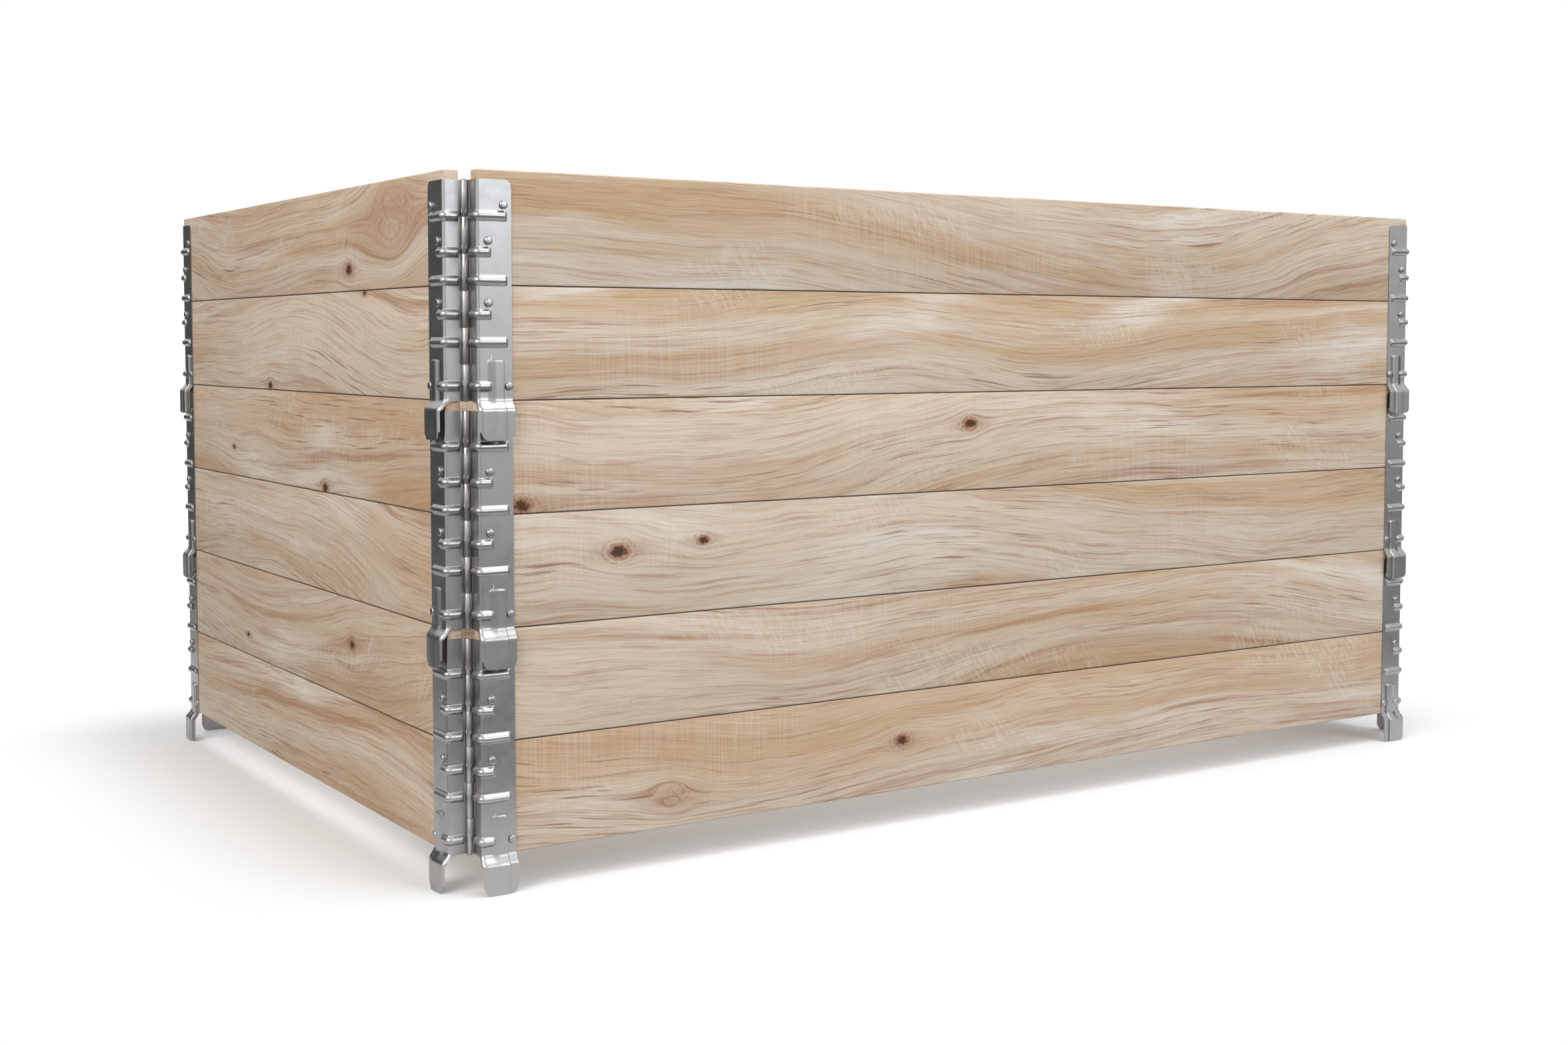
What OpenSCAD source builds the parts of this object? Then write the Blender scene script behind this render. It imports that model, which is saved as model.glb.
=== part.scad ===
// Stack of wooden pallet collars, each a folding frame of boards on four steel corner hinges.
// X runs along the long walls, Y across, Z up. The origin is the middle of the stack on the floor.
// Each wall is drawn as seen from outside: x from its middle, y from its outer face inwards.

/* [Stack] */
// Outside length of a collar, between the outer board faces
collar_l = 1200; // [1000:10:1400]
// Outside width of a collar, between the outer board faces
collar_w = 800; // [600:10:950]

/* [Boards] */
// Height of one board
board_h = 95.5; // [92:0.5:110]
// Thickness of one board
board_t = 13.5; // [12.5:0.5:15]
// Radius on the long edges of a board
board_edge_r = 1; // [0.5:0.1:2]
// Chamfer on the upright edges at the ends of a board
board_end_c = 1.8; // [1.5:0.1:2.5]

/* [Hinge sheet] */
// Thickness of the hinge sheet
sheet_t = 1.2; // [1:0.1:1.5]
// Distance from the corner to the far edge of a hinge flange
flange_w = 50.8; // [49.5:0.1:60]
// Distance from a collar's top edge down to the top of its hinges
leaf_drop = 8.3; // [7.5:0.1:9]
// Outer radius of the bend between flange and web
bend_r = 2.5; // [2.2:0.1:2.8]
// Radius of the upper outer corner of a flange
flange_corner_r = 6; // [3:0.5:8]

/* [Pin and knuckles] */
// Gap between the knuckles and the inside of a wall that is folded against them
fold_gap = 0.25; // [0.2:0.05:1]
// Diameter of the hinge pin
pin_d = 3; // [2.6:0.1:3]
// Gap between pin and knuckle, all round
pin_gap = 0.05; // [0.03:0.01:0.1]
// Distance from the hinge axis to the face of each web
web_gap = 3.2; // [3.2:0.1:3.5]
// Gap between neighbouring knuckles
knuckle_gap = 0.45; // [0.3:0.05:0.8]
// Height of the pin's head above the top knuckle
pin_head_h = 0.8; // [0.5:0.1:1.2]

/* [Pressed ribs] */
// Width of a pressed rib on the sheet
rib_w = 8.7; // [7.5:0.1:9]
// Height of a pressed rib above the sheet
rib_h = 2.9; // [2.2:0.1:2.9]
// Radius at the ends of a pressed rib
rib_end_r = 1.8; // [1:0.1:2.2]
// Distance from the corner to the far end of a long rib
long_rib_reach = 45.5; // [42:0.1:46.5]
// Distance from the corner to the far end of a short rib
short_rib_reach = 31; // [29.5:0.1:33]

/* [Stacking tongue] */
// Length of the stacking tongue below the boards
tongue_drop = 32.7; // [28:0.1:34]
// How far the tongue steps out from the flange
tongue_step = 5; // [4.6:0.1:6.5]
// Radius of the sheet's middle in both bends of the step
step_r = 5; // [4:0.1:6]
// Slope of the step from upright
step_angle = 45; // [35:1:50]
// Radius of the tongue's lower corners
tongue_corner_r = 7; // [4:0.5:9]
// Width of the raised boss on the tongue's crest
boss_w = 12.4; // [10:0.1:13]
// Height of the raised boss
boss_h = 2.4; // [1.6:0.1:2.8]

/* [Rivets] */
// Diameter of a rivet head
rivet_head_d = 7.2; // [6:0.1:7.4]
// Height of a rivet head
rivet_head_h = 2.4; // [1.6:0.1:2.6]
// Diameter of a rivet shank
rivet_d = 4; // [3.5:0.1:4.5]
// Gap round a rivet shank
rivet_gap = 0.1; // [0.05:0.01:0.2]
// Diameter of the washer on a rivet's tail, inside the wall
washer_d = 9; // [7:0.1:11]
// How far the tail and its washer stand out inside the wall
tail_h = 0.9; // [0.6:0.1:1.2]

/* [Hidden] */

// How far a cutter runs past the face that it cuts
overrun = 1;
// Depth by which joined solids bite into each other
bite = 0.3;
$fn = 48;

// Heights
collar_h = 2 * board_h;
leaf_top = collar_h - leaf_drop;

// Radius of a knuckle, and the hinge axis from either outer face, so that walls fold flat on each other
knuckle_r = pin_d / 2 + pin_gap + sheet_t;
axis_inset = board_t + knuckle_r + fold_gap;

// Plan of the hinge sheet, from the corner between the two outer faces
web_face = axis_inset + web_gap;
web_back = web_face + sheet_t;
bend_x = web_face + bend_r;
bend_y = bend_r - sheet_t;
board_end = web_back;

// Knuckles: three on each leaf, turn about
knuckle_count = 6;
knuckle_foot = -sheet_t / 2;
knuckle_pitch = (leaf_top - knuckle_foot) / knuckle_count;
knuckle_h = knuckle_pitch - knuckle_gap;

// Pressed ribs: radius of the outer round from its chord and height
rib_r = (pow(rib_w / 2, 2) + pow(rib_h, 2)) / (2 * rib_h);
rib_crest = sheet_t + rib_h;
rib_facets = 3;
rib_web_end = axis_inset - knuckle_r - sheet_t;
// Places of the ribs and rivets, as shares of a collar's height below its top
rib_drop_shares = [0.2, 0.357, 0.479, 0.626, 0.747, 0.937];
rivet_drop_shares = [0.152, 0.308, 0.576, 0.937];
// Places of the rivets along the flange, as shares from its bend to its far edge
rivet_reach_shares = [0.75, 0.262, 0.262, 0.886];
rib_reaches = [long_rib_reach, short_rib_reach, long_rib_reach, short_rib_reach, long_rib_reach, short_rib_reach];

// Step between the flange and the tongue: two bends and a straight slope
step_top = sheet_t;
slope_l = (tongue_step - 2 * step_r * (1 - cos(step_angle))) / sin(step_angle);
step_h = 2 * step_r * sin(step_angle) + slope_l * cos(step_angle);
tongue_top = step_top - step_h;
step_facets = 6;
// Edge of the notch under the web: its shoulder as a share of the board's thickness, then the run out and the fall
// of its corners as shares of the way to the tongue's inner edge
notch_shoulder_share = 0.333;
notch_run_shares = [0, 0.26, 0.54, 1];
notch_fall_shares = [0, 0.17, 0.5, 1];

// Boss pressed into the flange and the tongue, which flares to the tongue's inner edge below the step
boss_drop_share = 0.82;
boss_right = rivet_place(3)[0] - rivet_head_d / 2 - rib_end_r;
boss_left = boss_right - boss_w;
boss_top = collar_h * (1 - boss_drop_share);
flare_top = step_top - step_h / 3;
flare_foot = tongue_top;
boss_crest = sheet_t + boss_h;

function rivet_place(i) = [
    bend_x + rivet_reach_shares[i] * (flange_w - bend_x),
    collar_h * (1 - rivet_drop_shares[i])
];
function collar_foot(level) = tongue_drop + level * collar_h;

// Concave filler that rounds a square corner at the origin, in the quarter x < 0, y < 0
module corner_waste(r) {
    difference() {
        translate([-r, -r]) square(r + overrun);
        translate([-r, -r]) circle(r);
    }
}

// Plan of the bent sheet: flange, bend and web out to depth
module sheet_plan(depth) {
    difference() {
        sheet_side(web_face, -sheet_t, bend_r, flange_w, depth);
        sheet_side(web_back, 0, bend_r - sheet_t, flange_w + overrun, depth + overrun);
    }
}

// Everything inside one side of the sheet, with its corner rounded
module sheet_side(x, y, r, x_end, y_end) {
    difference() {
        translate([x, y]) square([x_end - x, y_end - y]);
        translate([x, y]) mirror([1, 1]) corner_waste(r);
    }
}

// Side view of the leaf at a height out from the sheet's back, as [y, z] points down to the tongue's end
function step_line(out) = let (
    upper = [-sheet_t / 2 - step_r, step_top],
    lower = [-sheet_t / 2 + step_r - tongue_step, tongue_top],
    upper_r = step_r + sheet_t / 2 - out,
    lower_r = step_r - sheet_t / 2 + out
) concat(
    [for (i = [0:step_facets]) let (a = step_angle * i / step_facets)
        upper + upper_r * [cos(a), -sin(a)]],
    [for (i = [step_facets:-1:0]) let (a = step_angle * i / step_facets)
        lower - lower_r * [cos(a), -sin(a)]],
    [[-tongue_step - out, -tongue_drop]]
);

// Band of the side view between two heights out from the sheet's back, as [y, z] points
function step_band(low, high, z_top) = concat(
    [[-low, z_top], [-high, z_top]], step_line(high), reversed(step_line(low))
);
function reversed(list) = [for (i = [len(list) - 1:-1:0]) list[i]];

// Stretch of a band along the wall, from x_from to x_to
module band_run(low, high, z_top, x_from, x_to) {
    translate([x_from, 0, 0]) rotate([90, 0, 90]) linear_extrude(x_to - x_from)
        polygon(step_band(low, high, z_top));
}

// Web plate beside the step, which widens with it
module step_gusset() {
    translate([web_face, 0, 0]) rotate([90, 0, 90]) linear_extrude(sheet_t)
        polygon(concat(
            [[board_t, step_top]], step_line(sheet_t / 2), [[board_t, -tongue_drop]]
        ));
}

// Waste under the web and behind the tongue's inner edge
module notch_waste() {
    shoulder = board_t * notch_shoulder_share;
    rotate([90, 0, 90]) linear_extrude(flange_w)
        polygon(concat(
            [[board_t + overrun, knuckle_foot]],
            [for (i = [0:len(notch_run_shares) - 1]) [
                shoulder - notch_run_shares[i] * (shoulder + tongue_step),
                knuckle_foot - notch_fall_shares[i] * (knuckle_foot - tongue_top)
            ]],
            [[-tongue_step, -tongue_drop - overrun], [board_t + overrun, -tongue_drop - overrun]]
        ));
}

// Section of a pressed rib, a round cut off at from: x is height from the sheet's back, y runs across the rib
module rib_section(crest, r, from) {
    half = acos((from - crest + r) / r);
    polygon([for (i = [-rib_facets:rib_facets]) let (a = half * i / rib_facets)
        [crest - r + r * cos(a), r * sin(a)]]);
}

// Straight stretch of a rib along x, rounded down at its far end; y is height from the sheet's back
module rib_run(reach, crest, r, from) {
    difference() {
        rotate([90, 0, 90]) linear_extrude(reach) rib_section(crest, r, from);
        translate([reach, crest, -r]) linear_extrude(2 * r) corner_waste(rib_end_r);
    }
}

// A rib round the bend, from its end on the flange to its end on the web
module rib_body(reach, crest, r, from, shy) {
    translate([bend_x, 0, 0]) mirror([0, 1, 0]) rib_run(reach - bend_x - shy, crest, r, from);
    translate([web_back, bend_y, 0]) rotate(90) rib_run(rib_web_end - bend_y - shy, crest, r, from);
    translate([bend_x, bend_y, 0]) rotate(180) rotate_extrude(angle = 90)
        translate([bend_y, 0]) rib_section(crest, r, from);
}

// The boss from its top end down to the tongue's end, drawn in by shy
module boss_body(low, high, shy) {
    difference() {
        intersection() {
            band_run(low, high, boss_top - shy, web_face, flange_w);
            translate([0, overrun, 0]) rotate([90, 0, 0])
                linear_extrude(tongue_step + boss_crest + 2 * overrun) boss_outline(shy);
        }
        translate([0, -high, boss_top - shy]) rotate([90, 0, 90]) linear_extrude(flange_w)
            mirror([1, 0]) corner_waste(boss_h);
    }
}

// The boss seen square to the flange, x from the corner and y up
module boss_outline(shy) {
    foot = -tongue_drop - overrun;
    polygon([
        [boss_left + shy, boss_top + overrun], [boss_right - shy, boss_top + overrun], [boss_right - shy, foot],
        [web_face + shy, foot], [web_face + shy, flare_foot - shy], [boss_left + shy, flare_top - shy]
    ]);
}

// Knuckles of one leaf, each with the strap that ties it to the web
module knuckles(first) {
    for (i = [first:2:knuckle_count - 1])
        translate([0, 0, knuckle_foot + i * knuckle_pitch + knuckle_gap / 2]) {
            translate([axis_inset, axis_inset, 0]) cylinder(r = knuckle_r, h = knuckle_h);
            translate([axis_inset + pin_d / 2 + pin_gap, axis_inset - sheet_t / 2, 0])
                cube([web_back - axis_inset - pin_d / 2 - pin_gap, sheet_t, knuckle_h]);
            translate([web_face, board_t - bite, 0])
                cube([sheet_t, axis_inset + sheet_t / 2 - board_t + bite, knuckle_h]);
        }
}

// One hinge leaf at the left end of a wall, its collar's foot at z = 0
module leaf(first) {
    difference() {
        union() {
            difference() {
                union() {
                    translate([0, 0, step_top]) linear_extrude(leaf_top - step_top) sheet_plan(board_t);
                    band_run(0, sheet_t, step_top, web_face, flange_w);
                    step_gusset();
                    boss_body(bite, boss_crest, 0);
                }
                notch_waste();
            }
            for (i = [0:len(rib_reaches) - 1])
                translate([0, 0, collar_h * (1 - rib_drop_shares[i])])
                    rib_body(rib_reaches[i], rib_crest, rib_r, bite, 0);
            knuckles(first);
        }
        for (i = [0:len(rib_reaches) - 1])
            translate([0, 0, collar_h * (1 - rib_drop_shares[i])])
                rib_body(rib_reaches[i], rib_crest - sheet_t, rib_r - sheet_t, -bite, sheet_t);
        boss_body(-bite, boss_h, sheet_t);
        translate([axis_inset, axis_inset, knuckle_foot - overrun])
            cylinder(d = pin_d + 2 * pin_gap, h = leaf_top - knuckle_foot + 2 * overrun);
        for (i = [0:3])
            translate([rivet_place(i)[0], overrun, rivet_place(i)[1]]) rotate([90, 0, 0])
                cylinder(d = rivet_d + 2 * rivet_gap, h = sheet_t + 2 * overrun);
        translate([flange_w, overrun, leaf_top]) rotate([90, 0, 0])
            linear_extrude(sheet_t + 2 * overrun) corner_waste(flange_corner_r);
        for (side = [0, 1])
            translate([side == 0 ? web_face : flange_w, 0, -tongue_drop])
                mirror([1 - side, 0, 0]) mirror([0, 0, 1]) rotate([90, 0, 0])
                    linear_extrude(tongue_step + boss_crest + overrun) corner_waste(tongue_corner_r);
    }
}

// Place children at both ends of a wall: child 0 at the left end, child 1 mirrored at the right
module wall_ends(span) {
    translate([-span / 2, 0, 0]) children(0);
    translate([span / 2, 0, 0]) mirror([1, 0, 0]) children(1);
}

// Turn a wall from its own frame to its side: 0 front, 1 right, 2 back, 3 left
module on_side(side) {
    rotate(90 * side) translate([0, -wall_depth(side) / 2, 0]) children();
}
function wall_span(side) = side % 2 == 0 ? collar_l : collar_w;
function wall_depth(side) = side % 2 == 0 ? collar_w : collar_l;

// The two hinge leaves of one wall
module leaves(side, level) {
    color([0.62, 0.63, 0.64])
        on_side(side) translate([0, 0, collar_foot(level)])
            wall_ends(wall_span(side)) {
                leaf(0);
                leaf(1);
            }
}

// One board with its rivet holes; row 0 is the lower board of a collar, row 1 the upper
module board(side, level, row) {
    span = wall_span(side) - 2 * board_end;
    color([0.86, 0.74, 0.58])
        on_side(side) translate([0, 0, collar_foot(level)])
            difference() {
                translate([0, 0, row * board_h]) board_blank(span);
                for (i = [0:1])
                    wall_ends(wall_span(side)) {
                        rivet_bore(2 * (1 - row) + i);
                        rivet_bore(2 * (1 - row) + i);
                    }
            }
}

// A plain board with eased edges, its outer face at y = 0
module board_blank(span) {
    intersection() {
        translate([-span / 2, 0, 0]) rotate([90, 0, 90]) linear_extrude(span)
            difference() {
                square([board_t, board_h]);
                board_corner_waste(0, 0);
                board_corner_waste(1, 0);
                board_corner_waste(0, 1);
                board_corner_waste(1, 1);
            }
        linear_extrude(board_h) polygon([
            [-span / 2 + board_end_c, 0], [span / 2 - board_end_c, 0],
            [span / 2, board_end_c], [span / 2, board_t - board_end_c],
            [span / 2 - board_end_c, board_t], [-span / 2 + board_end_c, board_t],
            [-span / 2, board_t - board_end_c], [-span / 2, board_end_c]
        ]);
    }
}

// Waste that rounds one corner of a board's section
module board_corner_waste(inner, upper) {
    translate([inner * board_t, upper * board_h])
        mirror([1 - inner, 0]) mirror([0, 1 - upper]) corner_waste(board_edge_r);
}

// Rivet hole through a board
module rivet_bore(i) {
    translate([rivet_place(i)[0], -overrun, rivet_place(i)[1]]) rotate([-90, 0, 0])
        cylinder(d = rivet_d + 2 * rivet_gap, h = board_t + 2 * overrun);
}

// One rivet through sheet and board: domed head outside, washer and tail inside
module rivet(i) {
    dome_r = (pow(rivet_head_d / 2, 2) + pow(rivet_head_h, 2)) / (2 * rivet_head_h);
    translate([rivet_place(i)[0], 0, rivet_place(i)[1]]) rotate([90, 0, 0]) {
        translate([0, 0, sheet_t]) rotate_extrude()
            intersection() {
                translate([0, rivet_head_h - dome_r]) circle(dome_r);
                square([rivet_head_d / 2, rivet_head_h]);
            }
        translate([0, 0, -board_t]) cylinder(d = rivet_d, h = board_t + sheet_t);
        translate([0, 0, -board_t - tail_h]) cylinder(d = washer_d, h = tail_h);
    }
}

// The eight rivets of one wall
module rivets(side, level) {
    color([0.72, 0.73, 0.74])
        on_side(side) translate([0, 0, collar_foot(level)])
            for (i = [0:3])
                wall_ends(wall_span(side)) {
                    rivet(i);
                    rivet(i);
                }
}

// Hinge pin of one corner: shank through all six knuckles, head on top, upset foot below
module pin(right, back, level) {
    x = (collar_l / 2 - axis_inset) * (right ? 1 : -1);
    y = (collar_w / 2 - axis_inset) * (back ? 1 : -1);
    color([0.66, 0.67, 0.68])
        translate([x, y, collar_foot(level)]) {
            translate([0, 0, knuckle_foot - pin_head_h])
                cylinder(d = pin_d, h = leaf_top - knuckle_foot + pin_head_h);
            translate([0, 0, leaf_top]) cylinder(r1 = knuckle_r, r2 = pin_d / 2, h = pin_head_h);
            translate([0, 0, knuckle_foot - pin_head_h])
                cylinder(r1 = pin_d / 2, r2 = knuckle_r - sheet_t / 2, h = pin_head_h);
        }
}

board(0, 0, 0);  // bottom_front_lower_board
board(0, 0, 1);  // bottom_front_upper_board
leaves(0, 0);  // bottom_front_leaves
rivets(0, 0);  // bottom_front_rivets
board(1, 0, 0);  // bottom_right_lower_board
board(1, 0, 1);  // bottom_right_upper_board
leaves(1, 0);  // bottom_right_leaves
rivets(1, 0);  // bottom_right_rivets
board(2, 0, 0);  // bottom_back_lower_board
board(2, 0, 1);  // bottom_back_upper_board
leaves(2, 0);  // bottom_back_leaves
rivets(2, 0);  // bottom_back_rivets
board(3, 0, 0);  // bottom_left_lower_board
board(3, 0, 1);  // bottom_left_upper_board
leaves(3, 0);  // bottom_left_leaves
rivets(3, 0);  // bottom_left_rivets
pin(false, false, 0);  // bottom_front_left_pin
pin(true, false, 0);  // bottom_front_right_pin
pin(false, true, 0);  // bottom_back_left_pin
pin(true, true, 0);  // bottom_back_right_pin

board(0, 1, 0);  // middle_front_lower_board
board(0, 1, 1);  // middle_front_upper_board
leaves(0, 1);  // middle_front_leaves
rivets(0, 1);  // middle_front_rivets
board(1, 1, 0);  // middle_right_lower_board
board(1, 1, 1);  // middle_right_upper_board
leaves(1, 1);  // middle_right_leaves
rivets(1, 1);  // middle_right_rivets
board(2, 1, 0);  // middle_back_lower_board
board(2, 1, 1);  // middle_back_upper_board
leaves(2, 1);  // middle_back_leaves
rivets(2, 1);  // middle_back_rivets
board(3, 1, 0);  // middle_left_lower_board
board(3, 1, 1);  // middle_left_upper_board
leaves(3, 1);  // middle_left_leaves
rivets(3, 1);  // middle_left_rivets
pin(false, false, 1);  // middle_front_left_pin
pin(true, false, 1);  // middle_front_right_pin
pin(false, true, 1);  // middle_back_left_pin
pin(true, true, 1);  // middle_back_right_pin

board(0, 2, 0);  // top_front_lower_board
board(0, 2, 1);  // top_front_upper_board
leaves(0, 2);  // top_front_leaves
rivets(0, 2);  // top_front_rivets
board(1, 2, 0);  // top_right_lower_board
board(1, 2, 1);  // top_right_upper_board
leaves(1, 2);  // top_right_leaves
rivets(1, 2);  // top_right_rivets
board(2, 2, 0);  // top_back_lower_board
board(2, 2, 1);  // top_back_upper_board
leaves(2, 2);  // top_back_leaves
rivets(2, 2);  // top_back_rivets
board(3, 2, 0);  // top_left_lower_board
board(3, 2, 1);  // top_left_upper_board
leaves(3, 2);  // top_left_leaves
rivets(3, 2);  // top_left_rivets
pin(false, false, 2);  // top_front_left_pin
pin(true, false, 2);  // top_front_right_pin
pin(false, true, 2);  // top_back_left_pin
pin(true, true, 2);  // top_back_right_pin
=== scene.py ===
"""Stack of three wooden pallet collars on pressed steel corner hinges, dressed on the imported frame."""

import bmesh
import bpy
import math
import random
from mathutils import Matrix, Vector


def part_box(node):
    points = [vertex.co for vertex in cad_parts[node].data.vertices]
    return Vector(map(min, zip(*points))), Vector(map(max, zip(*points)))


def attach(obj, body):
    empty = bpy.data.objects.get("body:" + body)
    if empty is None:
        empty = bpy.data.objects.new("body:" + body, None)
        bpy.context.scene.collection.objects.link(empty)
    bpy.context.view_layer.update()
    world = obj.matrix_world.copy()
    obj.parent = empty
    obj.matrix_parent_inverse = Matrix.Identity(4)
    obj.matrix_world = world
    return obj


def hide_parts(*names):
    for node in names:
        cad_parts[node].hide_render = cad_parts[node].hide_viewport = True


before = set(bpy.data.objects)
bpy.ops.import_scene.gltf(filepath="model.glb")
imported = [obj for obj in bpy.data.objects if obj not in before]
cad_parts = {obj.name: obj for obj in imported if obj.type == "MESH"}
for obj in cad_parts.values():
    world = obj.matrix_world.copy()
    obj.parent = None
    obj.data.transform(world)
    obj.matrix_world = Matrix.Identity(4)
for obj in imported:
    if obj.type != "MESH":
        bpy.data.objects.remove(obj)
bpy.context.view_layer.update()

MM = 0.001
LEVELS = ("bottom", "middle", "top")
SIDES = ("front", "right", "back", "left")

# Sizes read from the frame, in metres
board_low, board_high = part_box("bottom_front_lower_board")
side_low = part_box("bottom_left_lower_board")[0]
BOARD_H = board_high.z - board_low.z
BOARD_T = board_high.y - board_low.y
COLLAR_H = 2 * BOARD_H
COLLAR_W = -2 * board_low.y
COLLAR_L = -2 * side_low.x
TONGUE_DROP = board_low.z
BOARD_END = COLLAR_L / 2 - board_high.x

# How a board is sawn: rounding of its long edges and of its ends, and the dents that run along its edges
BOARD_EDGE_R = 1.4 * MM
BOARD_END_R = 1.3 * MM
EDGE_CUTS = 59
EDGE_WAVES = 5
EDGE_BAND = 0.9
# Each board's seed, from its level, its side and its row
SEED_START = 11
SEED_LEVEL = 40
SEED_SIDE = 7
SEED_ROW = 3

# The hinge sheet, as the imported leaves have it
SHEET = 1.2 * MM
WEB_GAP = 3.2 * MM
WEB_FACE = BOARD_END - SHEET
AXIS_INSET = WEB_FACE - WEB_GAP
BEND_R = 2.5 * MM
BEND_X = WEB_FACE + BEND_R
BEND_Y = BEND_R - SHEET
FLANGE_W = 50.8 * MM
LEAF_TOP = COLLAR_H - 8.3 * MM
TOP_CORNER_R = 6 * MM
TONGUE_CORNER_R = 7 * MM
STEP_OUT = 5 * MM
STEP_TOP = 1.5 * MM
STEP_FOOT = -8.5 * MM
TONGUE_EDGE = -5 * MM

# Pin and knuckles
PIN_R = 1.5 * MM
PIN_GAP = 0.05 * MM
KNUCKLE_R = PIN_R + PIN_GAP + SHEET
KNUCKLE_FOOT = -0.6 * MM
KNUCKLES = 6
KNUCKLE_GAP = 0.16 * MM
KNUCKLE_EASE = 0.25 * MM
KNUCKLE_ROUND = 0.1 * MM
STRAP_EASE = 0.15 * MM
LIP_BULGE = 0.48 * MM
WEB_OVERLAP = 0.2 * MM

# Pressed ribs and boss
RIB_HALF = 4.5 * MM
RIB_H = 2.9 * MM
RIB_END_R = 3 * MM
RIB_FLANK = 0.8
RIB_DROPS = (0.2, 0.357, 0.479, 0.626, 0.747, 0.937)
LONG_RIB = 47 * MM
SHORT_RIB = 32.5 * MM
RIB_REACHES = (LONG_RIB, SHORT_RIB) * 3
RIB_WEB_END = AXIS_INSET - KNUCKLE_R - SHEET
BOSS_LEFT = 27.4 * MM
BOSS_RAMP = 8.4 * MM
BOSS_RIGHT = 43.1 * MM
BOSS_TOP = 0.18 * COLLAR_H
BOSS_CORNER_R = 2.6 * MM
BOSS_H = 2.4 * MM
BOSS_FLANK = 1.3 * MM
BOSS_CREST = 1.8 * MM
FLARE_TOP = 3 * MM
FLARE_RUN = 10 * MM
FLARE_SHARE = 0.7

# The grid that the leaf is pressed from: the widest spaces between its rows, its columns and the web's columns
ROW_STEP = 5 * MM
COLUMN_STEP = 2.2 * MM
WEB_STEP = 0.16
PAST_PRESS = 0.3 * MM
MERGE_DISTANCE = 1e-6

# Edges sharper than these angles, in degrees, stay crisp
LEAF_CREASE = 40
PLAIN_CREASE = 50

# Rivets: places as shares from the bend to the flange's far edge, and of the collar's height down
RIVET_PLACES = ((0.75, 0.152), (0.262, 0.308), (0.262, 0.576), (0.886, 0.937))
RIVET_HEAD_R = 3.7 * MM
RIVET_HEAD_H = 2.4 * MM
WASHER_R = 4.5 * MM
TAIL_H = 0.9 * MM

# Knots on the boards that show them: place along the row, height in the row, radius, and how dark the heart is
KNOTS = {
    "middle_front_upper_board": ((-0.061, 0.384, 0.0085, 1), (-0.541, 0.326, 0.009, 1)),
    "middle_front_lower_board": ((-0.449, 0.282, 0.0095, 1), (-0.364, 0.287, 0.0062, 1)),
    "bottom_front_lower_board": ((-0.143, 0.081, 0.008, 1), (-0.399, 0.061, 0.012, 0)),
    "top_left_upper_board": ((-0.158, 0.530, 0.0085, 1), (-0.266, 0.576, 0.03, 0)),
    "top_left_lower_board": ((-0.197, 0.508, 0.0045, 1), (0.074, 0.419, 0.0065, 1)),
    "middle_left_upper_board": ((-0.087, 0.324, 0.0075, 1), (0.2, 0.35, 0.004, 1)),
    "bottom_left_upper_board": ((-0.154, 0.181, 0.007, 1), (0.16, 0.15, 0.004, 1)),
}
HIDDEN_KNOT = (9.0, 9.0, 0.005, 0)

# The camera fitted to the photograph, in pixels of its own frame, metres and degrees
PHOTO_W = 2352
PHOTO_H = 1568
FOCAL_PX = 2844
CENTRE_Y_PX = 674.3
CAMERA_AT = (-1.2233, -1.8491, 0.4301 + TONGUE_DROP)
CAMERA_YAW = 33.112
CAMERA_PITCH = 3.22
SENSOR = 36

# The room's own light: the way its brighter side lies, then its level there, behind and overhead
ROOM_WAY = (0.45, -0.89, 0)
ROOM_FRONT = 0.62
ROOM_BACK = 0.26
ROOM_OVER = 0.74
# The paper: how far it shows the stack's shadow before it is plain white, its reach, and its tones as seen and as
# a giver of light
PAPER_SHADE = 0.22
PAPER_HALF = 30
PAPER_PALE = (0.86, 0.87, 0.88, 1)
PAPER_GREY = (0.32, 0.31, 0.3, 1)
# The dark cards: their felt, how far off the shaded paper they start and how far above it they lie
FELT_GREY = (0.2, 0.2, 0.2, 1)
CARD_MARGIN = 0.02
CARD_LIFT = 0.004

# Soft boxes: name, place, the point they face, size, power in watts and tint
SOFT_BOXES = (
    ("front_box", (0.9, -3.8, 1.7), (-0.3, -0.3, 0.4), (2.2, 1.6), 36, (0.88, 0.94, 1.0)),
    ("left_box", (-3.4, -1.6, 2.6), (-0.2, -0.2, 0.3), (2.4, 2.0), 86, (1.0, 0.95, 0.89)),
    ("overhead_box", (0.7, -0.9, 3.1), (0, 0, 0.3), (1.8, 1.4), 37, (0.92, 0.96, 1.0)),
)

# Steel: sheet, rivets and pins, the tones of the zinc's speckle and bloom, and the depth of its bumps
ZINC_SHEET = (0.42, 0.415, 0.41, 1)
RIVET_ZINC = (0.4, 0.4, 0.41, 1)
PIN_ZINC = (0.42, 0.42, 0.43, 1)
SPECKLE_GREY = (0.2, 0.2, 0.21, 1)
BLOOM_GREY = (0.28, 0.28, 0.29, 1)
ZINC_RELIEF = 0.1 * MM

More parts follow.
